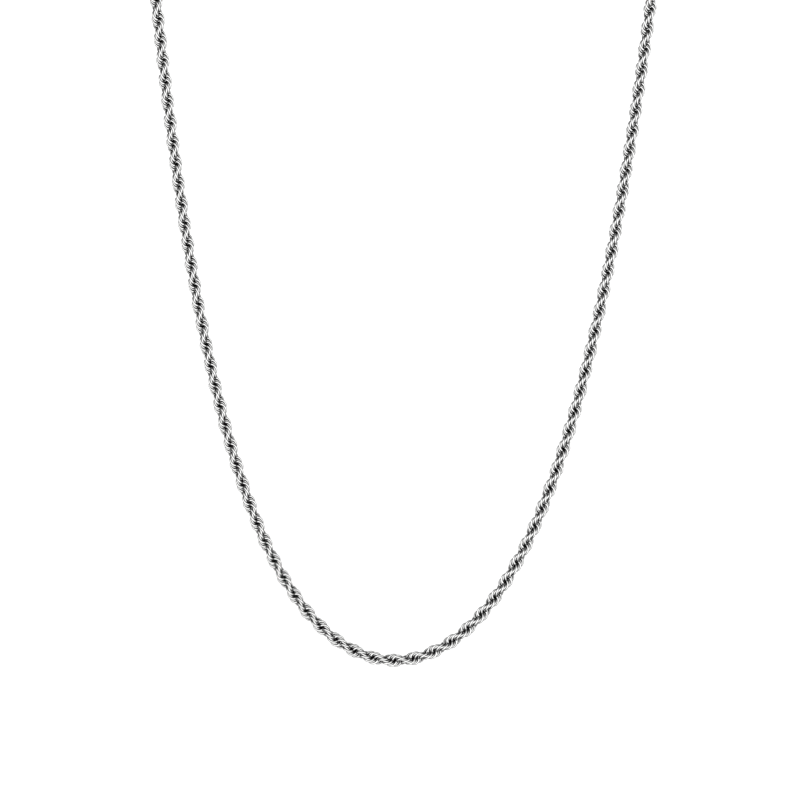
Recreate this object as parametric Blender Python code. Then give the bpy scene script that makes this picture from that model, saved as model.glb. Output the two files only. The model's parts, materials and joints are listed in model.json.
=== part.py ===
"""A twisted rope-chain necklace with a lobster-claw clasp. It hangs in the XZ plane, its front towards -Y.

Metres, +Z up. The origin is under the middle of the rope, at its lowest point. The rope is split into
short lengths that hinge on one another. Each end carries a cup with a loop. A jump ring and the clasp hang
from the right cup, and the catch ring from the left one. The clasp is unhooked, and the right end lies
behind the left.
"""

import math

import bmesh
import bpy
from mathutils import Matrix, Vector

MM = 0.001

# The hang of the rope: a catenary that meets a circular arc
CATENARY = 17.0 * MM
SIDE_HALF_WIDTH = 48.3 * MM
DEPTH_AT_END = 3.0 * MM

# The rope: two round strands wound about each other
STRAND_RADIUS = 0.73 * MM
STRAND_OFFSET = 0.52 * MM
ROPE_RADIUS = STRAND_RADIUS + STRAND_OFFSET
ROPE_PITCH = 8.0 * MM
ROPE_STEP = 1.15 * MM
ROPE_OUTLINE_DEG = (0, 30, 60, 90, 120, 150, 180, 210, 240, 270, 300, 330)
SECTIONS_A_SIDE = 20
MIDDLE_LENGTH = 10.4 * MM
SECTION_GAP = 0.40 * MM
END_TAPER_LENGTH = 0.55 * MM
END_TAPER_SCALE = 0.45

# The hardware takes up the rest of the loop, measured from the top of the arc
RIGHT_ROPE_STOP = 17.2 * MM
LEFT_ROPE_STOP = 7.8 * MM

# End cups
CUP_BORE_RADIUS = 1.36 * MM
CUP_RADIUS = 1.62 * MM
CUP_LENGTH = 3.4 * MM
CUP_FLOOR = 0.9 * MM
CUP_OVERLAP = 2.2 * MM
CUP_LIP_DEPTH = 0.15 * MM
CUP_LIP_BEVEL = 0.08 * MM
CUP_SHOULDER_DEPTH = 0.70 * MM
CUP_CROWN_DEPTH = 0.25 * MM
CUP_CROWN_SHARE = 0.90
CUP_TOP_SHARE = 0.55
CUP_SIDES = 20
LOOP_RADIUS = 1.15 * MM
LOOP_WIRE_RADIUS = 0.34 * MM
LOOP_SUNK = 0.05 * MM
LOOP_SEGMENTS = 20

# Jump rings
RING_RADIUS = 1.8 * MM
RING_WIRE_RADIUS = 0.38 * MM
LINK_GAP = 0.06 * MM

# Clasp, in its own plane: u runs from the tail eye to the tip of the claw, and v points to the claw's back
CLASP_THICKNESS = 2.6 * MM
CLASP_BEVEL = 0.45 * MM
CLASP_TURN = math.radians(-24)
EYE_U = 0.19 * MM
EYE_RADIUS = 1.25 * MM
EYE_BORE = 0.72 * MM
EYE_THICKNESS = 0.9 * MM
EYE_BEVEL = 0.2 * MM
TAIL_U = 2.9 * MM
TAIL_RADIUS = 1.8 * MM
CLAW_U = 7.2 * MM
CLAW_RADIUS = 3.0 * MM
CLAW_BORE = 1.9 * MM
CLAW_BORE_V = 0.15 * MM
PIVOT_U = 4.2 * MM
PIVOT_V = -0.75 * MM
PIN_RADIUS = 0.35 * MM
PIN_BORE = 0.42 * MM
PIN_HEAD_DEPTH = 0.05 * MM

# The lever, its slot between the cheeks, and the mouth that it closes. CUT_V is well outside the claw
CUT_V = -4.0 * MM
GATE_WIDTH = 1.0 * MM
GATE_BEVEL = 0.12 * MM
GATE_TIP_U = 8.75 * MM
GATE_TIP_V = -1.45 * MM
GATE_EYE_RADIUS = 0.85 * MM
GATE_THICKNESS_V = 0.3 * MM
MOUTH_U = PIVOT_U + 1.3 * MM
MOUTH_LEAN = 0.6 * MM
MOUTH_V = -0.2 * MM
MOUTH_CLEARANCE = 0.2 * MM
SLOT_WIDTH = 1.3 * MM
SLOT_TAIL_U = PIVOT_U - 1.9 * MM
SLOT_KNEE_U = PIVOT_U + 0.3 * MM
SLOT_CLAW_U = CLAW_U - 1.0 * MM
SLOT_TAIL_V = 0.55 * MM
SLOT_CLAW_V = 1.25 * MM

# The leaf spring, bent round in the slot
SPRING_U = PIVOT_U - 0.35 * MM
SPRING_V = PIVOT_V + 1.32 * MM
SPRING_RADIUS = 0.22 * MM
SPRING_HALF_THICKNESS = 0.10 * MM
SPRING_WIDTH = 0.7 * MM
SPRING_OPENING = 0.5
SPRING_START_DEG = 60
SPRING_SWEEP_DEG = 240
SPRING_STEPS = 10

ROPE_COLOUR = (0.80, 0.80, 0.80, 1.0)
CLASP_COLOUR = (0.78, 0.78, 0.78, 1.0)
SPRING_COLOUR = (0.55, 0.55, 0.57, 1.0)


def clear_scene():
    for old in list(bpy.data.objects):
        bpy.data.objects.remove(old, do_unlink=True)


def metal(name, colour, roughness):
    material = bpy.data.materials.new(name)
    material.use_nodes = True
    shader = material.node_tree.nodes["Principled BSDF"]
    shader.inputs["Base Color"].default_value = colour
    shader.inputs["Metallic"].default_value = 1.0
    shader.inputs["Roughness"].default_value = roughness
    return material


def finish_mesh(bm, name, material, sharp_deg=40):
    """Turns a bmesh into a shaded object with its faces pointing out."""
    bmesh.ops.recalc_face_normals(bm, faces=bm.faces)
    mesh = bpy.data.meshes.new(name)
    bm.to_mesh(mesh)
    bm.free()
    mesh.shade_smooth()
    mesh.set_sharp_from_angle(angle=math.radians(sharp_deg))
    obj = bpy.data.objects.new(name, mesh)
    obj.data.materials.append(material)
    bpy.context.collection.objects.link(obj)
    return obj


# ---------------------------------------------------------------- the line the necklace hangs along

SIDE_HEIGHT = CATENARY * (math.cosh(SIDE_HALF_WIDTH / CATENARY) - 1)
SIDE_SLOPE = math.atan(math.sinh(SIDE_HALF_WIDTH / CATENARY))
SIDE_LENGTH = CATENARY * math.sinh(SIDE_HALF_WIDTH / CATENARY)
ARC_RADIUS = SIDE_HALF_WIDTH / math.sin(SIDE_SLOPE)
ARC_CENTRE_Z = SIDE_HEIGHT + ARC_RADIUS * math.cos(SIDE_SLOPE)
HALF_LENGTH = SIDE_LENGTH + ARC_RADIUS * (math.pi - SIDE_SLOPE)


def hang_point(s):
    """The centre line at the distance s from its lowest point, with s > 0 on the +X side."""
    side = 1.0 if s >= 0 else -1.0
    run = abs(s)
    if run <= SIDE_LENGTH:
        x = CATENARY * math.asinh(run / CATENARY)
        z = math.hypot(CATENARY, run) - CATENARY
    else:
        turn = SIDE_SLOPE + (run - SIDE_LENGTH) / ARC_RADIUS
        x = ARC_RADIUS * math.sin(turn)
        z = ARC_CENTRE_Z - ARC_RADIUS * math.cos(turn)
    depth = side * DEPTH_AT_END * min(1.0, run / (HALF_LENGTH - RIGHT_ROPE_STOP)) ** 2
    return Vector((side * x, depth, z + ROPE_RADIUS))


def hang_frame(s):
    """Columns: along the chain towards the +X end, through its depth (+Y), across it, and the place."""
    small = 0.01 * MM
    along = (hang_point(s + small) - hang_point(s - small)).normalized()
    across = along.cross(Vector((0.0, 1.0, 0.0))).normalized()
    frame = Matrix((along, across.cross(along), across)).transposed().to_4x4()
    frame.translation = hang_point(s)
    return frame


def end_frame(side, run):
    """A frame for the hardware: local X leads away from the rope, and local Y is exactly +Y."""
    frame = hang_frame(side * run)
    along = frame.col[0].to_3d() * side
    along.y = 0.0
    along.normalize()
    depth = Vector((0.0, 1.0, 0.0))
    flat = Matrix((along, depth, along.cross(depth))).transposed().to_4x4()
    flat.translation = frame.translation
    return flat


# ---------------------------------------------------------------- rope


def rope_outline(angle):
    """How far the outline of two touching strands is from the rope's axis, at an angle from their line."""
    side = STRAND_OFFSET * abs(math.cos(angle))
    return side + math.sqrt(STRAND_RADIUS**2 - (STRAND_OFFSET * math.sin(angle)) ** 2)


def rope_loop(bm, s, origin, scale):
    """One ring of vertices around the rope. At s = 0 one strand is right above the other."""
    frame = hang_frame(s)
    twist = math.pi / 2 + 2 * math.pi * s / ROPE_PITCH
    loop = []
    for degrees in ROPE_OUTLINE_DEG:
        angle = math.radians(degrees)
        radius = scale * rope_outline(angle)
        local = Vector((0.0, radius * math.cos(angle + twist), radius * math.sin(angle + twist)))
        loop.append(bm.verts.new(frame @ local - origin))
    return loop


def rope_section(name, start, stop, pivot, material):
    """A length of rope from start to stop, with tapered ends and its origin on the joint that carries it."""
    origin = hang_point(pivot)
    low = start + SECTION_GAP / 2
    high = stop - SECTION_GAP / 2
    inner = high - low - 2 * END_TAPER_LENGTH
    steps = max(2, round(inner / ROPE_STEP))
    stations = [(low, END_TAPER_SCALE)]
    for i in range(steps + 1):
        stations.append((low + END_TAPER_LENGTH + inner * i / steps, 1.0))
    stations.append((high, END_TAPER_SCALE))
    bm = bmesh.new()
    loops = [rope_loop(bm, s, origin, scale) for s, scale in stations]
    for near, far in zip(loops, loops[1:]):
        for i in range(len(near)):
            j = (i + 1) % len(near)
            bm.faces.new((near[i], near[j], far[j], far[i]))
    bm.faces.new(reversed(loops[0]))
    bm.faces.new(loops[-1])
    obj = finish_mesh(bm, name, material, sharp_deg=60)
    obj.location = origin
    return obj


def rope_sections(material):
    """The whole rope: a middle length, then equal lengths up each side, numbered from the bottom."""
    rope_section("rope_middle", -MIDDLE_LENGTH / 2, MIDDLE_LENGTH / 2, 0.0, material)
    for side, word, stop in ((1, "right", RIGHT_ROPE_STOP), (-1, "left", LEFT_ROPE_STOP)):
        length = (HALF_LENGTH - stop - MIDDLE_LENGTH / 2) / SECTIONS_A_SIDE
        for i in range(SECTIONS_A_SIDE):
            near = MIDDLE_LENGTH / 2 + i * length
            far = near + length
            start, end = sorted((side * near, side * far))
            rope_section(f"rope_{word}_{i + 1:02d}", start, end, side * near, material)


# ---------------------------------------------------------------- hardware shapes


def add_boolean(obj, other, operation):
    modifier = obj.modifiers.new(operation.lower(), "BOOLEAN")
    modifier.operation = operation
    modifier.solver = "EXACT"
    modifier.object = other
    other.hide_render = True
    other.display_type = "WIRE"
    other.parent = obj


def torus(name, radius, wire, material, major=24, minor=8):
    """A round ring of wire about local Y."""
    bm = bmesh.new()
    section = []
    for i in range(minor):
        angle = 2 * math.pi * i / minor
        section.append(bm.verts.new((radius + wire * math.cos(angle), wire * math.sin(angle), 0.0)))
    edges = [bm.edges.new((section[i], section[(i + 1) % minor])) for i in range(minor)]
    bmesh.ops.spin(
        bm,
        geom=section + edges,
        cent=(0, 0, 0),
        axis=(0, 1, 0),
        angle=2 * math.pi,
        steps=major,
        use_merge=True,
    )
    bmesh.ops.remove_doubles(bm, verts=bm.verts, dist=wire / 100)
    return finish_mesh(bm, name, material)


def slab(name, outline, thickness, material, bevel=0.0):
    """A flat plate with an outline in the local XZ plane, centred on Y = 0."""
    bm = bmesh.new()
    loop = [bm.verts.new((u, -thickness / 2, v)) for u, v in outline]
    face = bm.faces.new(loop)
    grown = bmesh.ops.extrude_face_region(bm, geom=[face])
    top = [item for item in grown["geom"] if isinstance(item, bmesh.types.BMVert)]
    bmesh.ops.translate(bm, verts=top, vec=(0, thickness, 0))
    bmesh.ops.recalc_face_normals(bm, faces=bm.faces)
    if bevel:
        rims = [e for e in bm.edges if abs(e.verts[0].co.y - e.verts[1].co.y) < thickness / 2]
        bmesh.ops.bevel(bm, geom=rims, offset=bevel, segments=2, profile=0.5, affect="EDGES")
    return finish_mesh(bm, name, material)


def arc(centre, radius, start_deg, stop_deg, steps):
    """Points on an arc in a plane, both ends included."""
    points = []
    for i in range(steps + 1):
        angle = math.radians(start_deg + (stop_deg - start_deg) * i / steps)
        points.append((centre[0] + radius * math.cos(angle), centre[1] + radius * math.sin(angle)))
    return points


def disc(centre, radius, steps=20):
    return arc(centre, radius, 0, 360 - 360 / steps, steps - 1)


def end_cup(name, side, rope_end, material):
    """A drawn cup over the end of the rope, closed by a floor that carries a soldered loop."""
    profile = (
        (0.0, CUP_LENGTH),
        (CUP_TOP_SHARE * CUP_RADIUS, CUP_LENGTH),
        (CUP_CROWN_SHARE * CUP_RADIUS, CUP_LENGTH - CUP_CROWN_DEPTH),
        (CUP_RADIUS, CUP_LENGTH - CUP_SHOULDER_DEPTH),
        (CUP_RADIUS, CUP_LIP_DEPTH),
        (CUP_RADIUS - CUP_LIP_BEVEL, 0.0),
        (CUP_BORE_RADIUS, 0.0),
        (CUP_BORE_RADIUS, CUP_LENGTH - CUP_FLOOR),
        (0.0, CUP_LENGTH - CUP_FLOOR),
    )
    bm = bmesh.new()
    line = [bm.verts.new((along, radius, 0.0)) for radius, along in profile]
    edges = [bm.edges.new(pair) for pair in zip(line, line[1:])]
    bmesh.ops.spin(
        bm,
        geom=line + edges,
        cent=(0, 0, 0),
        axis=(1, 0, 0),
        angle=2 * math.pi,
        steps=CUP_SIDES,
        use_merge=True,
    )
    bmesh.ops.remove_doubles(bm, verts=bm.verts, dist=0.002 * MM)
    cup = finish_mesh(bm, name, material)
    loop = torus(name + "_loop", LOOP_RADIUS, LOOP_WIRE_RADIUS, material, major=LOOP_SEGMENTS)
    add_boolean(cup, loop, "UNION")
    loop.location = (CUP_LENGTH + LOOP_RADIUS - LOOP_SUNK, 0, 0)
    cup.matrix_world = end_frame(side, rope_end) @ Matrix.Translation((-CUP_OVERLAP, 0, 0))
    return cup


def jump_ring(name, side, rope_end, material):
    """A ring through a cup's loop, at right angles to it. Returns a frame on the ring's far wire."""
    loop_far_wire = CUP_LENGTH - CUP_OVERLAP + 2 * LOOP_RADIUS - LOOP_SUNK
    near_wire = loop_far_wire - LOOP_WIRE_RADIUS - RING_WIRE_RADIUS - LINK_GAP
    hang = end_frame(side, rope_end)
    ring = torus(name, RING_RADIUS, RING_WIRE_RADIUS, material)
    quarter_turn = Matrix.Rotation(math.pi / 2, 4, "X")
    ring.matrix_world = hang @ Matrix.Translation((near_wire + RING_RADIUS, 0, 0)) @ quarter_turn
    return hang @ Matrix.Translation((near_wire + 2 * RING_RADIUS, 0, 0))


def tangent_hull(tail, tail_radius, claw, claw_radius, steps):
    """The outline of two discs on one line, joined by their common tangents."""
    lean = math.degrees(math.acos((claw_radius - tail_radius) / (claw[0] - tail[0])))
    around_claw = arc(claw, claw_radius, -(180 - lean), 180 - lean, steps)
    around_tail = arc(tail, tail_radius, 180 - lean, 180 + lean, steps // 2)
    return around_claw + around_tail


def clasp_body(material):
    """The claw: a tail eye, two cheeks with a slot for the lever between them, and the hook."""
    outline = tangent_hull((TAIL_U, 0.0), TAIL_RADIUS, (CLAW_U, 0.0), CLAW_RADIUS, 20)
    body = slab("clasp_body", outline, CLASP_THICKNESS, material, CLASP_BEVEL)
    eye = slab("clasp_eye", disc((EYE_U, 0), EYE_RADIUS), EYE_THICKNESS, material, EYE_BEVEL)
    add_boolean(body, eye, "UNION")
    deep = 2 * CLASP_THICKNESS
    claw_bore = slab("claw_bore", disc((CLAW_U, CLAW_BORE_V), CLAW_BORE, 24), deep, material)
    mouth_outline = (
        (MOUTH_U, CUT_V),
        (MOUTH_U + MOUTH_LEAN, MOUTH_V),
        (GATE_TIP_U + MOUTH_CLEARANCE, MOUTH_V),
        (GATE_TIP_U + MOUTH_CLEARANCE, CUT_V),
    )
    mouth = slab("claw_mouth", mouth_outline, deep, material)
    slot_outline = (
        (SLOT_TAIL_U, CUT_V),
        (SLOT_TAIL_U, SLOT_TAIL_V),
        (SLOT_KNEE_U, SLOT_CLAW_V),
        (SLOT_CLAW_U, SLOT_CLAW_V),
        (SLOT_CLAW_U, CUT_V),
    )
    slot = slab("lever_slot", slot_outline, SLOT_WIDTH, material)
    pin_bore = slab("pin_bore", disc((PIVOT_U, PIVOT_V), PIN_BORE, 16), deep, material)
    eye_bore = slab("eye_bore", disc((EYE_U, 0), EYE_BORE, 18), deep, material)
    for cutter in (claw_bore, mouth, slot, pin_bore, eye_bore):
        add_boolean(body, cutter, "DIFFERENCE")
    return body


def gate_outline(reach):
    """The lever from its pivot, with its tip at the distance reach along its own line."""
    eye = arc((0, 0), GATE_EYE_RADIUS, 40, 205, 8)
    tab = [
        (-1.25 * MM, -1.35 * MM),
        (-1.15 * MM, -2.45 * MM),
        (-0.55 * MM, -2.60 * MM),
        (0.05 * MM, -1.35 * MM),
    ]
    under = [(0.4 * reach, -1.25 * MM), (0.75 * reach, -1.0 * MM), (reach - 0.3 * MM, -0.7 * MM)]
    tip = [(reach, -0.35 * MM), (reach, 0.1 * MM), (reach - 0.2 * MM, 0.25 * MM)]
    return tab + under + tip + [(0.5 * reach, GATE_THICKNESS_V)] + eye


def clasp_gate(material):
    """The lever: an eye on the pin, an arm that closes the mouth of the claw, and a thumb tab."""
    reach = math.hypot(GATE_TIP_U - PIVOT_U, GATE_TIP_V - PIVOT_V)
    lean = math.atan2(GATE_TIP_V - PIVOT_V, GATE_TIP_U - PIVOT_U)
    gate = slab("clasp_gate", gate_outline(reach), GATE_WIDTH, material, GATE_BEVEL)
    bore = slab("gate_bore", disc((0, 0), PIN_BORE, 16), 2 * GATE_WIDTH, material)
    add_boolean(gate, bore, "DIFFERENCE")
    gate.location = (PIVOT_U, 0, PIVOT_V)
    gate.rotation_euler = (0, -lean, 0)
    return gate


def clasp_pin(material):
    """The lever's pivot, with its ends just below the cheeks."""
    pin = slab("clasp_pin", disc((0, 0), PIN_RADIUS, 16), CLASP_THICKNESS - 2 * PIN_HEAD_DEPTH, material)
    pin.location = (PIVOT_U, 0, PIVOT_V)
    return pin


def clasp_spring(material):
    """A bent leaf in the slot, between the spine of the claw and the lever."""
    inner = []
    outer = []
    for i in range(SPRING_STEPS + 1):
        share = i / SPRING_STEPS
        angle = math.radians(SPRING_START_DEG + SPRING_SWEEP_DEG * share)
        middle = SPRING_RADIUS * (1 + SPRING_OPENING * abs(share - 0.5))
        for line, offset in ((inner, -SPRING_HALF_THICKNESS), (outer, SPRING_HALF_THICKNESS)):
            line.append(((middle + offset) * math.cos(angle), (middle + offset) * math.sin(angle)))
    spring = slab("clasp_spring", inner + outer[::-1], SPRING_WIDTH, material)
    spring.location = (SPRING_U, 0, SPRING_V)
    return spring


def clasp(place, material, spring_material):
    """The four pieces of the clasp on one empty, placed with the tail eye on the clasp ring."""
    holder = bpy.data.objects.new("clasp_holder", None)
    bpy.context.collection.objects.link(holder)
    pieces = (clasp_body(material), clasp_gate(material), clasp_pin(material), clasp_spring(spring_material))
    for piece in pieces:
        piece.parent = holder
    holder.matrix_world = place


def build():
    clear_scene()
    rope_sections(metal("rope_silver", ROPE_COLOUR, 0.12))
    cup_metal = metal("cup_silver", ROPE_COLOUR, 0.18)
    ring_metal = metal("ring_silver", ROPE_COLOUR, 0.15)
    right_end = HALF_LENGTH - RIGHT_ROPE_STOP
    left_end = HALF_LENGTH - LEFT_ROPE_STOP
    end_cup("end_cap_right", 1, right_end, cup_metal)
    end_cup("end_cap_left", -1, left_end, cup_metal)
    far_wire = jump_ring("clasp_ring", 1, right_end, ring_metal)
    jump_ring("catch_ring", -1, left_end, ring_metal)
    turn = Matrix.Rotation(CLASP_TURN, 4, "Y")
    clasp_metal = metal("clasp_silver", CLASP_COLOUR, 0.20)
    clasp(far_wire @ turn, clasp_metal, metal("spring_steel", SPRING_COLOUR, 0.30))


build()
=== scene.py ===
"""The looks of the rope-chain necklace: every wire ring of the rope, the end cups, the rings and the clasp.

The rope's rings are built one by one along the line that the frame hangs on, and gathered into short
runs. Each run crosses one hinge of the frame.
"""

import json
import math

import bmesh
import bpy
import numpy as np
from mathutils import Matrix, Vector


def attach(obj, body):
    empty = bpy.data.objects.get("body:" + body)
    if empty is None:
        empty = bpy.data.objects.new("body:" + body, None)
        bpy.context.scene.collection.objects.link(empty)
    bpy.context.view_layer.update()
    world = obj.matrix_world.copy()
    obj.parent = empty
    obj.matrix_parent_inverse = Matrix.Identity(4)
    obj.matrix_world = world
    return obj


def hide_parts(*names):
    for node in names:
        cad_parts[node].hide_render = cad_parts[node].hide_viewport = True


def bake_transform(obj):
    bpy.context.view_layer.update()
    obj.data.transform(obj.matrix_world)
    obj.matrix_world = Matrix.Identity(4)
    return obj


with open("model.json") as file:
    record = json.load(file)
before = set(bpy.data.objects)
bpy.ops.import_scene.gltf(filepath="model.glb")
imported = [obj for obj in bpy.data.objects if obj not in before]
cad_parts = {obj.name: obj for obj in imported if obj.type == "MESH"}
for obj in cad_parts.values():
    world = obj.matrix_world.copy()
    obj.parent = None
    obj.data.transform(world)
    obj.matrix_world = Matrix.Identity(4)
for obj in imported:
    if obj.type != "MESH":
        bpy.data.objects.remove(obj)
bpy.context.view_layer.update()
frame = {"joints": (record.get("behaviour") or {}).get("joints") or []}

MM = 0.001

# The hang of the rope, as the frame has it: a catenary that meets a circular arc
CATENARY = 17.0 * MM
SIDE_HALF_WIDTH = 48.3 * MM
DEPTH_AT_END = 3.0 * MM
ROPE_RADIUS = 1.25 * MM
ROPE_PITCH = 8.0 * MM
MIDDLE_LENGTH = 10.4 * MM
SECTIONS_A_SIDE = 20
RIGHT_ROPE_STOP = 17.2 * MM
LEFT_ROPE_STOP = 7.8 * MM
ROPE_END_GAP = 0.5 * MM
FRAME_TOLERANCE = 0.02 * MM

# One wire ring of the rope, how far it may lean out of line, and how the next one follows it
LINKS_A_TURN = 20
LINK_STEP = ROPE_PITCH / LINKS_A_TURN
LINK_RADIUS = 1.02 * MM
LINK_OFFSET = 0.08 * MM
LINK_TILT = math.radians(76)
LINK_LEAN = math.radians(-30)
LINK_WIRE = 0.20 * MM
LINK_AROUND = 28
LINK_SECTION = 10
LINK_UNEVEN = math.radians(1.0)
LINK_SEED = 7

# Hardware, in millimetres: each piece is scaled when it is put in its place
CUP_LENGTH = 3.4
CUP_OVERLAP = 2.2
CUP_RADIUS = 1.62
CUP_BORE_RADIUS = 1.36
CUP_FLOOR = 0.9
CUP_LIP_RADIUS = 0.14
CUP_LIP_CENTRE = CUP_RADIUS - 0.12
CUP_SHOULDER_RADIUS = 0.75
CUP_LINES_AT = (0.68, 0.98)
CUP_LINE_DEPTH = 0.07
CUP_LINE_HALF_WIDTH = 0.06
CUP_BORE_START = 0.05
LOOP_RADIUS = 1.15
LOOP_WIRE = 0.34
LOOP_SUNK = 0.05
SOLDER_CENTRE_RADIUS = 0.62
SOLDER_RADIUS = 0.30
RING_RADIUS = 1.8
RING_WIRE = 0.38
RING_CUT_DEG = 0.9
RING_CUT_AT_DEG = 68
LINK_GAP = 0.06
CLASP_TURN = math.radians(-24)
CLASP_THICKNESS = 2.6
EYE_U = 0.19
EYE_RADIUS = 1.25
EYE_BORE = 0.72
EYE_THICKNESS = 0.9
TAIL_U = 2.9
TAIL_RADIUS = 1.8
CLAW_U = 7.2
CLAW_RADIUS = 3.0
CLAW_BORE = 1.9
CLAW_BORE_V = 0.15
PIVOT_U = 4.2
PIVOT_V = -0.75
PIN_RADIUS = 0.35
PIN_BORE = 0.42
SLOT_WIDTH = 1.3
GATE_WIDTH = 1.0
GATE_TIP_U = 8.75
GATE_TIP_V = -1.45
GATE_EYE_RADIUS = 0.85
GATE_BEVEL = 0.12
CLASP_BEVEL = 0.5
EYE_BEVEL = 0.25
MOUTH_TOP_V = -0.2
BELOW_CLAW_V = -4.0
SLOT_TOP_V = 1.25
PIN_RECESS = 0.05
PIN_EDGE_RADIUS = 0.10
PIN_DOME = 0.02
SPRING_RADIUS = 0.22
SPRING_FLARE = 0.5
SPRING_HALF_THICKNESS = 0.10
SPRING_WIDTH = 0.7
SPRING_BEVEL = 0.02
SPRING_START_DEG = 60
SPRING_SWEEP_DEG = 240
SPRING_FROM_PIVOT = (-0.35, 1.32)
CAST_VOXEL = 0.055

# Metal colours, and the painted shade that darkens them in the recesses and between the wires
SILVER = (0.90, 0.90, 0.895)
CAST_SILVER = (0.87, 0.87, 0.865)
SPRING_STEEL = (0.56, 0.56, 0.58)
ROPE_PAINTED_SHADE = (0.05, 0.05, 0.053)
FITTING_PAINTED_SHADE = (0.25, 0.25, 0.25)
CLASP_PAINTED_SHADE = (0.2, 0.2, 0.2)
DULL_SHARE = 0.86
SCRATCH_DEPTH = 0.004 * MM

# Painted reflection, multiplied into the metal's base colour, as (share, level) stops from facing the eye
# to edge-on: a bright card behind the eye, and dark cards round it
LINK_PAINTED_REFLECTION = ((0.0, 0.9), (0.13, 0.68), (0.245, 0.34), (0.405, 0.21), (1.0, 0.17))
FITTING_PAINTED_REFLECTION = ((0.0, 0.62), (0.146, 0.60), (0.27, 0.30), (0.45, 0.14), (1.0, 0.20))
EDGE_LEVEL = 0.25

# How open a spot is where the painted shade starts to clear, and where it is gone
RECESS_FROM = 0.22
RECESS_TO = 0.74

# Stage
FLOOR_DEPTH = -100 * MM
FLOOR_HALF = 60000 * MM
FLOOR_COLOUR = (0.93, 0.93, 0.93)
FLOOR_ROUGHNESS = 0.9
VIEW_WIDTH = 156 * MM
VIEW_CENTRE = Vector((0.46 * MM, 0.0, 52.05 * MM))
VIEW_ROLL = math.radians(0.9)
LENS = 100.0
TENT_LEVEL = 1.2
MIRROR_LEVEL = 1.6
CEILING_FROM = 0.15
CEILING_TO = 0.65
CEILING_LEVEL = 0.45
LIGHT_AIM = Vector((0.0, 0.0, 80 * MM))


# ---------------------------------------------------------------- the line the necklace hangs along

SIDE_HEIGHT = CATENARY * (math.cosh(SIDE_HALF_WIDTH / CATENARY) - 1)
SIDE_SLOPE = math.atan(math.sinh(SIDE_HALF_WIDTH / CATENARY))
SIDE_LENGTH = CATENARY * math.sinh(SIDE_HALF_WIDTH / CATENARY)
ARC_RADIUS = SIDE_HALF_WIDTH / math.sin(SIDE_SLOPE)
ARC_CENTRE_Z = SIDE_HEIGHT + ARC_RADIUS * math.cos(SIDE_SLOPE)
HALF_LENGTH = SIDE_LENGTH + ARC_RADIUS * (math.pi - SIDE_SLOPE)
ROPE_STOP = {"right": HALF_LENGTH - RIGHT_ROPE_STOP, "left": HALF_LENGTH - LEFT_ROPE_STOP}
SIGN = {"right": 1, "left": -1}


def hang_point(s):
    """The centre line at the distance s from its lowest point, with s > 0 on the +X side."""
    side = 1.0 if s >= 0 else -1.0
    run = abs(s)
    if run <= SIDE_LENGTH:
        x = CATENARY * math.asinh(run / CATENARY)
        z = math.hypot(CATENARY, run) - CATENARY
    else:
        turn = SIDE_SLOPE + (run - SIDE_LENGTH) / ARC_RADIUS
        x = ARC_RADIUS * math.sin(turn)
        z = ARC_CENTRE_Z - ARC_RADIUS * math.cos(turn)
    depth = side * DEPTH_AT_END * min(1.0, run / ROPE_STOP["right"]) ** 2
    return Vector((side * x, depth, z + ROPE_RADIUS))


def hang_frame(s):
    """Columns: along the chain towards the +X end, through its depth (+Y), across it, and the place."""
    small = 0.01 * MM
    along = (hang_point(s + small) - hang_point(s - small)).normalized()
    across = along.cross(Vector((0.0, 1.0, 0.0))).normalized()
    place = Matrix((along, across.cross(along), across)).transposed().to_4x4()
    place.translation = hang_point(s)
    return place


def end_frame(word):
    """The frame of the hardware on one end: local X leads away from the rope, and local Y is exactly +Y."""
    place = hang_frame(SIGN[word] * ROPE_STOP[word])
    along = place.col[0].to_3d() * SIGN[word]
    along.y = 0.0
    along.normalize()
    depth = Vector((0.0, 1.0, 0.0))
    flat = Matrix((along, depth, along.cross(depth))).transposed().to_4x4()
    flat.translation = place.translation
    return flat


def section_length(word):
    return (ROPE_STOP[word] - MIDDLE_LENGTH / 2) / SECTIONS_A_SIDE


def hinge_run(word, number):
    """How far the hinge below a section is from the rope's lowest point."""
    return MIDDLE_LENGTH / 2 + (number - 1) * section_length(word)


def body_name(word, number):
    return f"rope_{word}_{number:02d}" if number else "rope_middle"


def check_line():
    """Stops if the line drawn here leaves the hinges of the frame."""
    joints = {j["child"]: Vector(j["pos_m"]) for j in frame["joints"]}
    for word in SIGN:
        for number in range(1, SECTIONS_A_SIDE + 1):
            here = hang_point(SIGN[word] * hinge_run(word, number))
            if (here - joints[body_name(word, number)]).length > FRAME_TOLERANCE:
                raise ValueError(f"the rope's line misses the hinge of {body_name(word, number)}")


# ---------------------------------------------------------------- materials


def add_node(material, kind, **values):
    node = material.node_tree.nodes.new(kind)
    for key, value in values.items():
        setattr(node, key, value)
    return node


def noise(material, scale, detail, stretch=(1, 1, 1)):
    """Noise fixed in space, with its scale in cycles a millimetre."""
    links = material.node_tree.links
    place = add_node(material, "ShaderNodeNewGeometry")
    mapping = add_node(material, "ShaderNodeMapping")
    mapping.inputs["Scale"].default_value = [scale * part / MM for part in stretch]
    texture = add_node(material, "ShaderNodeTexNoise")
    texture.inputs["Scale"].default_value = 1.0
    texture.inputs["Detail"].default_value = detail
    links.new(place.outputs["Position"], mapping.inputs["Vector"])
    links.new(mapping.outputs["Vector"], texture.inputs["Vector"])
    return texture.outputs["Fac"]


def ramp(material, source, low, high, from_min=0.3, from_max=0.7):
    """A value from low to high as the source goes from from_min to from_max."""
    node = add_node(material, "ShaderNodeMapRange")
    node.inputs["From Min"].default_value = from_min
    node.inputs["From Max"].default_value = from_max
    node.inputs["To Min"].default_value = low
    node.inputs["To Max"].default_value = high
    material.node_tree.links.new(source, node.inputs["Value"])
    return node.outputs["Result"]


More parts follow.
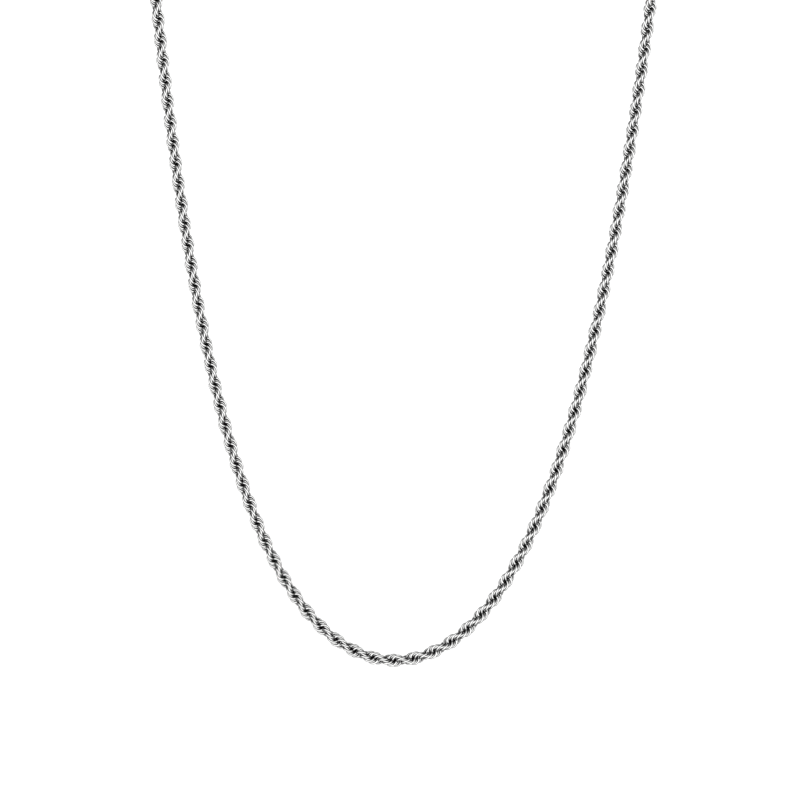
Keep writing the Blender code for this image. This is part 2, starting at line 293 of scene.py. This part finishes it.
def painted_reflection_cards(material, stops):
    """A painted reflection: a grey level that depends on how far the surface turns away from the eye."""
    facing = add_node(material, "ShaderNodeLayerWeight")
    cards = add_node(material, "ShaderNodeValToRGB")
    cards.color_ramp.interpolation = "EASE"
    ends = cards.color_ramp.elements
    ends[0].color = (*[stops[0][1]] * 3, 1.0)
    ends[1].color = (*[stops[-1][1]] * 3, 1.0)
    for share, level in stops[1:-1]:
        ends.new(share).color = (level, level, level, 1.0)
    material.node_tree.links.new(facing.outputs["Facing"], cards.inputs["Fac"])
    return cards.outputs["Color"]


def polished_metal(name, bright, painted_shade, roughness, scratch, recess_mm, mirror=FITTING_PAINTED_REFLECTION):
    """Polished metal with fine scratches, uneven polish, and painted shade that darkens the colour down in
    the recesses.
    """
    material = bpy.data.materials.new(name)
    material.use_nodes = True
    links = material.node_tree.links
    shader = material.node_tree.nodes["Principled BSDF"]
    shader.inputs["Metallic"].default_value = 1.0
    shader.inputs["Specular Tint"].default_value = (EDGE_LEVEL, EDGE_LEVEL, EDGE_LEVEL, 1.0)

    # Painted shade: where ambient occlusion finds a recess, the base colour turns towards the dark shade
    # colour
    occlusion = add_node(material, "ShaderNodeAmbientOcclusion", samples=8)
    occlusion.inputs["Distance"].default_value = recess_mm * MM
    open_share = ramp(material, occlusion.outputs["AO"], 0.0, 1.0, RECESS_FROM, RECESS_TO)
    blotch = ramp(material, noise(material, 0.6, 3), 0.0, 0.35)
    dull = add_node(material, "ShaderNodeMix", data_type="RGBA")
    dull.inputs["A"].default_value = (*bright, 1.0)
    dull.inputs["B"].default_value = (*[c * DULL_SHARE for c in bright], 1.0)
    links.new(blotch, dull.inputs["Factor"])
    colour = add_node(material, "ShaderNodeMix", data_type="RGBA")
    colour.inputs["A"].default_value = (*painted_shade, 1.0)
    links.new(open_share, colour.inputs["Factor"])
    links.new(dull.outputs["Result"], colour.inputs["B"])
    # Painted reflection: the colour is multiplied by a grey level that follows the angle to the eye
    mirrored = add_node(material, "ShaderNodeMix", data_type="RGBA", blend_type="MULTIPLY")
    mirrored.inputs["Factor"].default_value = 1.0
    links.new(colour.outputs["Result"], mirrored.inputs["A"])
    links.new(painted_reflection_cards(material, mirror), mirrored.inputs["B"])
    links.new(mirrored.outputs["Result"], shader.inputs["Base Color"])

    worn = ramp(material, noise(material, 2.5, 4), roughness * 0.7, roughness * 1.5)
    links.new(worn, shader.inputs["Roughness"])
    bump = add_node(material, "ShaderNodeBump")
    bump.inputs["Strength"].default_value = scratch
    bump.inputs["Distance"].default_value = SCRATCH_DEPTH
    links.new(noise(material, 9.0, 5, (1.0, 1.0, 0.12)), bump.inputs["Height"])
    links.new(bump.outputs["Normal"], shader.inputs["Normal"])
    return material


def make_materials():
    link = dict(roughness=0.13, scratch=0.10, recess_mm=0.60, mirror=LINK_PAINTED_REFLECTION)
    cup = dict(roughness=0.16, scratch=0.18, recess_mm=0.40)
    ring = dict(roughness=0.14, scratch=0.15, recess_mm=0.30)
    clasp = dict(roughness=0.19, scratch=0.30, recess_mm=0.50)
    spring = dict(roughness=0.32, scratch=0.40, recess_mm=0.20)
    return {
        "link": polished_metal("rope_silver_links", SILVER, ROPE_PAINTED_SHADE, **link),
        "cup": polished_metal("cup_silver_polished", SILVER, FITTING_PAINTED_SHADE, **cup),
        "ring": polished_metal("ring_silver_polished", SILVER, FITTING_PAINTED_SHADE, **ring),
        "clasp": polished_metal("clasp_silver_cast", CAST_SILVER, CLASP_PAINTED_SHADE, **clasp),
        "spring": polished_metal("spring_steel_leaf", SPRING_STEEL, CLASP_PAINTED_SHADE, **spring),
    }


# ---------------------------------------------------------------- the rope's wire rings


def link_shape(uneven):
    """Vertices of one ring, with the rope's axis on X and the ring's own side towards Y.

    The ring is tilted out of the YZ plane about its side, and then leans about Z.
    """
    tilt = LINK_TILT + uneven
    lean = np.array(Matrix.Rotation(-LINK_LEAN, 3, "Z"))
    outward = np.array([0.0, 1.0, 0.0])
    side = lean @ outward
    slope = lean @ np.array([-math.sin(tilt), 0.0, math.cos(tilt)])
    normal = lean @ np.array([math.cos(tilt), 0.0, math.sin(tilt)])
    points = []
    for i in range(LINK_AROUND):
        around = 2 * math.pi * i / LINK_AROUND
        out = math.cos(around) * side + math.sin(around) * slope
        for j in range(LINK_SECTION):
            turn = 2 * math.pi * j / LINK_SECTION
            wire = LINK_WIRE * (math.cos(turn) * out + math.sin(turn) * normal)
            points.append(LINK_OFFSET * outward + LINK_RADIUS * out + wire)
    return np.array(points)


def link_faces(start):
    """Quads of one ring whose vertices begin at start; their corner order makes them face in, towards the
    wire's centre.
    """
    faces = []
    for i in range(LINK_AROUND):
        for j in range(LINK_SECTION):
            k = (i + 1) % LINK_AROUND
            m = (j + 1) % LINK_SECTION
            near = start + i * LINK_SECTION
            far = start + k * LINK_SECTION
            faces.append([near + j, near + m, far + m, far + j])
    return faces


def link_points(index, uneven):
    """One ring in its place. Each ring is half a turn and one step of the twist on from the last."""
    s = index * LINK_STEP
    place = np.array(hang_frame(s))
    turn = math.pi / 2 + index * (math.pi + 2 * math.pi / LINKS_A_TURN)
    spin = np.array(Matrix.Rotation(turn, 3, "X"))
    return link_shape(uneven) @ spin.T @ place[:3, :3].T + place[:3, 3]


def link_run(name, first, last, material, unevenness):
    """The rings from first to last, without last, as one object."""
    points = []
    faces = []
    for index in range(first, last):
        faces += link_faces(len(points) * LINK_AROUND * LINK_SECTION)
        points.append(link_points(index, unevenness[index]))
    mesh = bpy.data.meshes.new(name)
    mesh.from_pydata(np.concatenate(points).tolist(), [], faces)
    mesh.shade_smooth()
    mesh.materials.append(material)
    obj = bpy.data.objects.new(name, mesh)
    bpy.context.collection.objects.link(obj)
    return obj


def first_link_after(s):
    return math.ceil(s / LINK_STEP)


def build_rope(material):
    """Runs of rings, each from the middle of one section to the middle of the next, and the two ends."""
    left_most = first_link_after(ROPE_END_GAP - ROPE_STOP["left"])
    right_most = first_link_after(ROPE_STOP["right"] - ROPE_END_GAP)
    draws = np.random.default_rng(LINK_SEED).uniform(-LINK_UNEVEN, LINK_UNEVEN, right_most - left_most)
    unevenness = {left_most + i: float(draw) for i, draw in enumerate(draws)}
    for word, sign in SIGN.items():
        half = section_length(word) / 2
        for number in range(1, SECTIONS_A_SIDE + 1):
            hinge = hinge_run(word, number)
            below = hinge - half if number > 1 else 0.0
            first, last = sorted(first_link_after(sign * s) for s in (below, hinge + half))
            run = link_run(f"links_{word}_{number:02d}", first, last, material, unevenness)
            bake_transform(run)
            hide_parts(body_name(word, number))
            if number == 1:
                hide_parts("rope_middle")
        top = first_link_after(sign * (hinge_run(word, SECTIONS_A_SIDE) + half))
        first, last = (top, right_most) if sign > 0 else (left_most, top)
        end_run = link_run(f"links_{word}_end", first, last, material, unevenness)
        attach(end_run, body_name(word, SECTIONS_A_SIDE))


# ---------------------------------------------------------------- hardware shapes, in millimetres


def finish_shape(bm, name, material, sharp_deg=35):
    bmesh.ops.recalc_face_normals(bm, faces=bm.faces)
    mesh = bpy.data.meshes.new(name)
    bm.to_mesh(mesh)
    bm.free()
    mesh.shade_smooth()
    mesh.set_sharp_from_angle(angle=math.radians(sharp_deg))
    obj = bpy.data.objects.new(name, mesh)
    obj.data.materials.append(material)
    bpy.context.collection.objects.link(obj)
    return obj


def arc(centre, radius, start_deg, stop_deg, steps):
    """Points on an arc in a plane, both ends included."""
    points = []
    for i in range(steps + 1):
        angle = math.radians(start_deg + (stop_deg - start_deg) * i / steps)
        points.append((centre[0] + radius * math.cos(angle), centre[1] + radius * math.sin(angle)))
    return points


def disc(centre, radius, steps=48):
    return arc(centre, radius, 0, 360 - 360 / steps, steps - 1)


def turned(name, profile, material, steps=72):
    """A shape turned about local X from a profile of (radius, distance along) points."""
    bm = bmesh.new()
    line = [bm.verts.new((along, radius, 0.0)) for radius, along in profile]
    edges = [bm.edges.new(pair) for pair in zip(line, line[1:])]
    spun = dict(cent=(0, 0, 0), axis=(1, 0, 0), angle=2 * math.pi, steps=steps, use_merge=True)
    bmesh.ops.spin(bm, geom=line + edges, **spun)
    bmesh.ops.remove_doubles(bm, verts=bm.verts, dist=0.002)
    return finish_shape(bm, name, material)


def wire_ring(name, radius, wire, material, open_deg=0.0, turn_deg=0.0, major=72, minor=20):
    """A ring of round wire about local Y. With open_deg it is a bent wire whose cut ends nearly meet."""
    bm = bmesh.new()
    loops = []
    closed = open_deg == 0.0
    count = major if closed else major + 1
    for i in range(count):
        around = math.radians(turn_deg + open_deg / 2 + (360 - open_deg) * i / major)
        out = Vector((math.cos(around), 0.0, math.sin(around)))
        ring = []
        for j in range(minor):
            angle = 2 * math.pi * j / minor
            point = out * (radius + wire * math.cos(angle)) + Vector((0.0, wire * math.sin(angle), 0.0))
            ring.append(bm.verts.new(point))
        loops.append(ring)
    pairs = list(zip(loops, loops[1:] + loops[:1])) if closed else list(zip(loops, loops[1:]))
    for near, far in pairs:
        for j in range(minor):
            k = (j + 1) % minor
            bm.faces.new((near[j], near[k], far[k], far[j]))
    if not closed:
        bm.faces.new(loops[0])
        bm.faces.new(loops[-1])
    return finish_shape(bm, name, material)


def slab(name, outline, thickness, material, bevel=0.0):
    """A flat plate with an outline in the local XZ plane, centred on Y = 0."""
    bm = bmesh.new()
    face = bm.faces.new([bm.verts.new((u, -thickness / 2, v)) for u, v in outline])
    grown = bmesh.ops.extrude_face_region(bm, geom=[face])
    top = [item for item in grown["geom"] if isinstance(item, bmesh.types.BMVert)]
    bmesh.ops.translate(bm, verts=top, vec=(0, thickness, 0))
    bmesh.ops.recalc_face_normals(bm, faces=bm.faces)
    if bevel:
        rims = [e for e in bm.edges if abs(e.verts[0].co.y - e.verts[1].co.y) < thickness / 2]
        bmesh.ops.bevel(bm, geom=rims, offset=bevel, segments=5, profile=0.5, affect="EDGES")
    return finish_shape(bm, name, material)


def combine(obj, others, operation):
    """Joins the others to obj, or cuts them out of it, and removes them."""
    for other in others:
        modifier = obj.modifiers.new(operation.lower(), "BOOLEAN")
        modifier.operation = operation
        modifier.solver = "EXACT"
        modifier.object = other
        apply_modifiers(obj)
        bpy.data.objects.remove(other, do_unlink=True)


def apply_modifiers(obj):
    depsgraph = bpy.context.evaluated_depsgraph_get()
    mesh = bpy.data.meshes.new_from_object(obj.evaluated_get(depsgraph))
    obj.modifiers.clear()
    obj.data = mesh


def cast(obj, voxel=CAST_VOXEL, smooth_steps=8):
    """Softens every edge, as on a polished casting."""
    remesh = obj.modifiers.new("cast", "REMESH")
    remesh.mode = "VOXEL"
    remesh.voxel_size = voxel
    remesh.use_smooth_shade = True
    smooth = obj.modifiers.new("polish", "SMOOTH")
    smooth.factor = 0.5
    smooth.iterations = smooth_steps
    apply_modifiers(obj)
    obj.data.shade_smooth()


def put(obj, place, body, slot, *nodes):
    """Scales a shape from millimetres, puts it in its place, and lets it ride on a body."""
    obj.data.transform(place @ Matrix.Scale(MM, 4))
    obj.data.update()
    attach(obj, body)
    if nodes:
        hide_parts(*nodes)


def shift(x, y=0.0, z=0.0):
    return Matrix.Translation((x * MM, y * MM, z * MM))


# ---------------------------------------------------------------- hardware


def end_cup(word, material):
    """A drawn cup with a rolled lip and two turned lines, and the loop soldered to its floor."""
    floor = CUP_LENGTH - CUP_FLOOR
    lip = arc((CUP_LIP_CENTRE, CUP_LIP_RADIUS), CUP_LIP_RADIUS, -80, 90, 6)
    lines = []
    for along in CUP_LINES_AT:
        lines.append((CUP_RADIUS, along - CUP_LINE_HALF_WIDTH))
        lines.append((CUP_RADIUS - CUP_LINE_DEPTH, along))
        lines.append((CUP_RADIUS, along + CUP_LINE_HALF_WIDTH))
    shoulder_centre = (CUP_RADIUS - CUP_SHOULDER_RADIUS, CUP_LENGTH - CUP_SHOULDER_RADIUS)
    shoulder = arc(shoulder_centre, CUP_SHOULDER_RADIUS, 0, 90, 10)
    inside = ((0.0, floor), (CUP_BORE_RADIUS, floor), (CUP_BORE_RADIUS, CUP_BORE_START))
    cup = turned(f"cup_{word}", [*inside, *lip, *lines, *shoulder, (0.0, CUP_LENGTH)], material)
    solder = arc((SOLDER_CENTRE_RADIUS, CUP_LENGTH - 0.06), SOLDER_RADIUS, 90, 0, 6)
    solder_ends = ((0.0, CUP_LENGTH + 0.24), (0.0, CUP_LENGTH - 0.2))
    fillet = turned(f"cup_solder_{word}", [solder_ends[0], *solder, solder_ends[1]], material)
    loop = wire_ring(f"cup_loop_{word}", LOOP_RADIUS, LOOP_WIRE, material)
    body = body_name(word, SECTIONS_A_SIDE)
    place = end_frame(word) @ shift(-CUP_OVERLAP)
    put(cup, place, body, "cup_silver", f"end_cap_{word}")
    put(fillet, place, body, "cup_silver")
    put(loop, place @ shift(CUP_LENGTH + LOOP_RADIUS - LOOP_SUNK), body, "cup_silver")


def jump_ring(name, word, material):
    """A ring of bent wire through a cup's loop. Returns a frame on the ring's far wire."""
    loop_far_wire = CUP_LENGTH - CUP_OVERLAP + 2 * LOOP_RADIUS - LOOP_SUNK
    near_wire = loop_far_wire - LOOP_WIRE - RING_WIRE - LINK_GAP
    cut = dict(open_deg=RING_CUT_DEG, turn_deg=RING_CUT_AT_DEG)
    ring = wire_ring(name + "_wire", RING_RADIUS, RING_WIRE, material, **cut)
    centre = end_frame(word) @ shift(near_wire + RING_RADIUS)
    put(ring, centre @ Matrix.Rotation(math.pi / 2, 4, "X"), name, "ring_silver", name)
    return end_frame(word) @ shift(near_wire + 2 * RING_RADIUS)


def tangent_hull(tail, tail_radius, claw, claw_radius, steps):
    """The outline of two discs on one line, joined by their common tangents."""
    lean = math.degrees(math.acos((claw_radius - tail_radius) / (claw[0] - tail[0])))
    around_claw = arc(claw, claw_radius, -(180 - lean), 180 - lean, steps)
    around_tail = arc(tail, tail_radius, 180 - lean, 180 + lean, steps // 2)
    return around_claw + around_tail


def clasp_body(material):
    """The claw: a tail eye, two cheeks with a slot for the lever between them, and the hook."""
    outline = tangent_hull((TAIL_U, 0.0), TAIL_RADIUS, (CLAW_U, 0.0), CLAW_RADIUS, 60)
    body = slab("clasp_claw", outline, CLASP_THICKNESS, material, CLASP_BEVEL)
    eye = slab("eye", disc((EYE_U, 0), EYE_RADIUS), EYE_THICKNESS, material, EYE_BEVEL)
    combine(body, [eye], "UNION")
    deep = 2 * CLASP_THICKNESS
    mouth_outline = (
        (PIVOT_U + 1.3, BELOW_CLAW_V),
        (PIVOT_U + 1.9, MOUTH_TOP_V),
        (GATE_TIP_U + 0.2, MOUTH_TOP_V),
        (GATE_TIP_U + 0.2, BELOW_CLAW_V),
    )
    slot_outline = (
        (PIVOT_U - 1.9, BELOW_CLAW_V),
        (PIVOT_U - 1.9, 0.55),
        (PIVOT_U + 0.3, SLOT_TOP_V),
        (CLAW_U - 1.0, SLOT_TOP_V),
        (CLAW_U - 1.0, BELOW_CLAW_V),
    )
    cutters = [
        slab("claw_bore", disc((CLAW_U, CLAW_BORE_V), CLAW_BORE, 72), deep, material),
        slab("claw_mouth", mouth_outline, deep, material),
        slab("lever_slot", slot_outline, SLOT_WIDTH, material),
        slab("pin_bore", disc((PIVOT_U, PIVOT_V), PIN_BORE, 32), deep, material),
        slab("eye_bore", disc((EYE_U, 0), EYE_BORE), deep, material),
    ]
    combine(body, cutters, "DIFFERENCE")
    cast(body)
    return body


def clasp_gate(material):
    """The lever: an eye on the pin, an arm that closes the mouth of the claw, and a thumb tab."""
    reach = math.hypot(GATE_TIP_U - PIVOT_U, GATE_TIP_V - PIVOT_V)
    eye = arc((0, 0), GATE_EYE_RADIUS, 40, 205, 24)
    tab = [(-1.25, -1.35), (-1.15, -2.45), (-0.85, -2.62), (-0.55, -2.60), (0.05, -1.35)]
    under = [(reach * 0.4, -1.25), (reach * 0.75, -1.0), (reach - 0.3, -0.7)]
    tip = [(reach, -0.35), (reach, 0.1), (reach - 0.2, 0.25), (reach * 0.5, 0.3)]
    gate = slab("clasp_lever", tab + under + tip + eye, GATE_WIDTH, material, GATE_BEVEL)
    bore = slab("gate_bore", disc((0, 0), PIN_BORE, 32), 2 * GATE_WIDTH, material)
    combine(gate, [bore], "DIFFERENCE")
    cast(gate, smooth_steps=5)
    return gate


def clasp_pin(material):
    """The pivot pin, turned, with lightly domed ends."""
    half = CLASP_THICKNESS / 2 - PIN_RECESS
    end = arc((PIN_RADIUS - PIN_EDGE_RADIUS, half - PIN_EDGE_RADIUS), PIN_EDGE_RADIUS, 0, 80, 5)
    other = [(radius, -along) for radius, along in reversed(end)]
    profile = [(0.0, -half - PIN_DOME), *other, *end, (0.0, half + PIN_DOME)]
    return turned("clasp_rivet", profile, material, steps=40)


def clasp_spring(material):
    """A bent leaf in the slot, between the spine of the claw and the lever."""
    steps = 36
    inner = []
    outer = []
    for i in range(steps + 1):
        angle = math.radians(SPRING_START_DEG + SPRING_SWEEP_DEG * i / steps)
        middle = SPRING_RADIUS * (1 + SPRING_FLARE * abs(i / steps - 0.5))
        for line, offset in ((inner, -SPRING_HALF_THICKNESS), (outer, SPRING_HALF_THICKNESS)):
            line.append(((middle + offset) * math.cos(angle), (middle + offset) * math.sin(angle)))
    return slab("clasp_leaf", inner + outer[::-1], SPRING_WIDTH, material, SPRING_BEVEL)


def build_clasp(hold, materials):
    """The clasp's four pieces, from the frame on the far wire of its ring."""
    place = hold @ Matrix.Rotation(CLASP_TURN, 4, "Y")
    pivot = place @ shift(PIVOT_U, 0, PIVOT_V)
    lean = math.atan2(GATE_TIP_V - PIVOT_V, GATE_TIP_U - PIVOT_U)
    put(clasp_body(materials["clasp"]), place, "clasp", "clasp_silver", "clasp_body")
    pin = clasp_pin(materials["clasp"])
    put(pin, pivot @ Matrix.Rotation(math.pi / 2, 4, "Z"), "clasp", "clasp_silver", "clasp_pin")
    spring = clasp_spring(materials["spring"])
    spring_place = place @ shift(PIVOT_U + SPRING_FROM_PIVOT[0], 0, PIVOT_V + SPRING_FROM_PIVOT[1])
    put(spring, spring_place, "clasp", "spring_steel", "clasp_spring")
    gate = clasp_gate(materials["clasp"])
    put(gate, pivot @ Matrix.Rotation(-lean, 4, "Y"), "clasp_gate", "clasp_silver", "clasp_gate")


# ---------------------------------------------------------------- stage


def build_floor():
    bm = bmesh.new()
    half = FLOOR_HALF
    corners = ((-half, -half), (half, -half), (half, half), (-half, half))
    bm.faces.new([bm.verts.new((x, y, FLOOR_DEPTH)) for x, y in corners])
    material = bpy.data.materials.new("floor_pale")
    material.use_nodes = True
    shader = material.node_tree.nodes["Principled BSDF"]
    shader.inputs["Base Color"].default_value = (*FLOOR_COLOUR, 1.0)
    shader.inputs["Roughness"].default_value = FLOOR_ROUGHNESS
    mesh = bpy.data.meshes.new("floor")
    bm.to_mesh(mesh)
    bm.free()
    floor = bpy.data.objects.new("floor", mesh)
    floor.data.materials.append(material)
    bpy.context.collection.objects.link(floor)
    floor.visible_glossy = False


def area_light(name, place, size, power):
    """A rectangular light that shines at the necklace and doesn't show itself."""
    data = bpy.data.lights.new(name, "AREA")
    data.shape = "RECTANGLE"
    data.size, data.size_y = size
    data.energy = power
    light = bpy.data.objects.new(name, data)
    light.location = place
    light.rotation_euler = (LIGHT_AIM - Vector(place)).to_track_quat("-Z", "Y").to_euler()
    light.visible_camera = False
    bpy.context.collection.objects.link(light)


def studio_surround(tree):
    """What the metal mirrors: an even white tent with a dark opening in its ceiling."""
    direction = tree.nodes.new("ShaderNodeTexCoord")
    split = tree.nodes.new("ShaderNodeSeparateXYZ")
    tree.links.new(direction.outputs["Generated"], split.inputs["Vector"])
    ceiling = tree.nodes.new("ShaderNodeMapRange")
    ceiling.interpolation_type = "SMOOTHSTEP"
    ceiling.inputs["From Min"].default_value = CEILING_FROM
    ceiling.inputs["From Max"].default_value = CEILING_TO
    ceiling.inputs["To Min"].default_value = MIRROR_LEVEL
    ceiling.inputs["To Max"].default_value = MIRROR_LEVEL * CEILING_LEVEL
    tree.links.new(split.outputs["Z"], ceiling.inputs["Value"])
    return ceiling.outputs["Result"]


def build_light():
    """Even white light for the floor and the view, and a studio surround for the metal to mirror."""
    world = bpy.data.worlds.new("studio")
    world.use_nodes = True
    tree = world.node_tree
    tent = tree.nodes["Background"]
    tent.inputs["Color"].default_value = (1.0, 1.0, 1.0, 1.0)
    tent.inputs["Strength"].default_value = TENT_LEVEL
    mirrored = tree.nodes.new("ShaderNodeBackground")
    tree.links.new(studio_surround(tree), mirrored.inputs["Color"])
    rays = tree.nodes.new("ShaderNodeLightPath")
    mix = tree.nodes.new("ShaderNodeMixShader")
    tree.links.new(rays.outputs["Is Glossy Ray"], mix.inputs["Fac"])
    tree.links.new(tent.outputs["Background"], mix.inputs[1])
    tree.links.new(mirrored.outputs["Background"], mix.inputs[2])
    tree.links.new(mix.outputs["Shader"], tree.nodes["World Output"].inputs["Surface"])
    bpy.context.scene.world = world
    area_light("key", place=(-0.45, -0.55, 0.45), size=(0.45, 0.45), power=0.8)
    area_light("fill", place=(0.55, -0.40, 0.15), size=(0.35, 0.50), power=0.3)
    area_light("rim", place=(0.10, 0.60, 0.40), size=(0.50, 0.30), power=0.3)


def build_camera():
    data = bpy.data.cameras.new("camera")
    data.lens = LENS
    data.clip_start = 10 * MM
    camera = bpy.data.objects.new("camera", data)
    distance = VIEW_WIDTH * LENS / data.sensor_width
    camera.location = VIEW_CENTRE + Vector((0.0, -distance, 0.0))
    facing = Matrix.Rotation(math.pi / 2, 4, "X")
    camera.rotation_euler = (facing @ Matrix.Rotation(VIEW_ROLL, 4, "Z")).to_euler()
    bpy.context.collection.objects.link(camera)
    bpy.context.scene.camera = camera
    bpy.context.scene.view_settings.view_transform = "Standard"


check_line()
materials = make_materials()
build_rope(materials["link"])
end_cup("left", materials["cup"])
end_cup("right", materials["cup"])
jump_ring("catch_ring", "left", materials["ring"])
hold = jump_ring("clasp_ring", "right", materials["ring"])
build_clasp(hold, materials)
build_floor()
build_light()
build_camera()
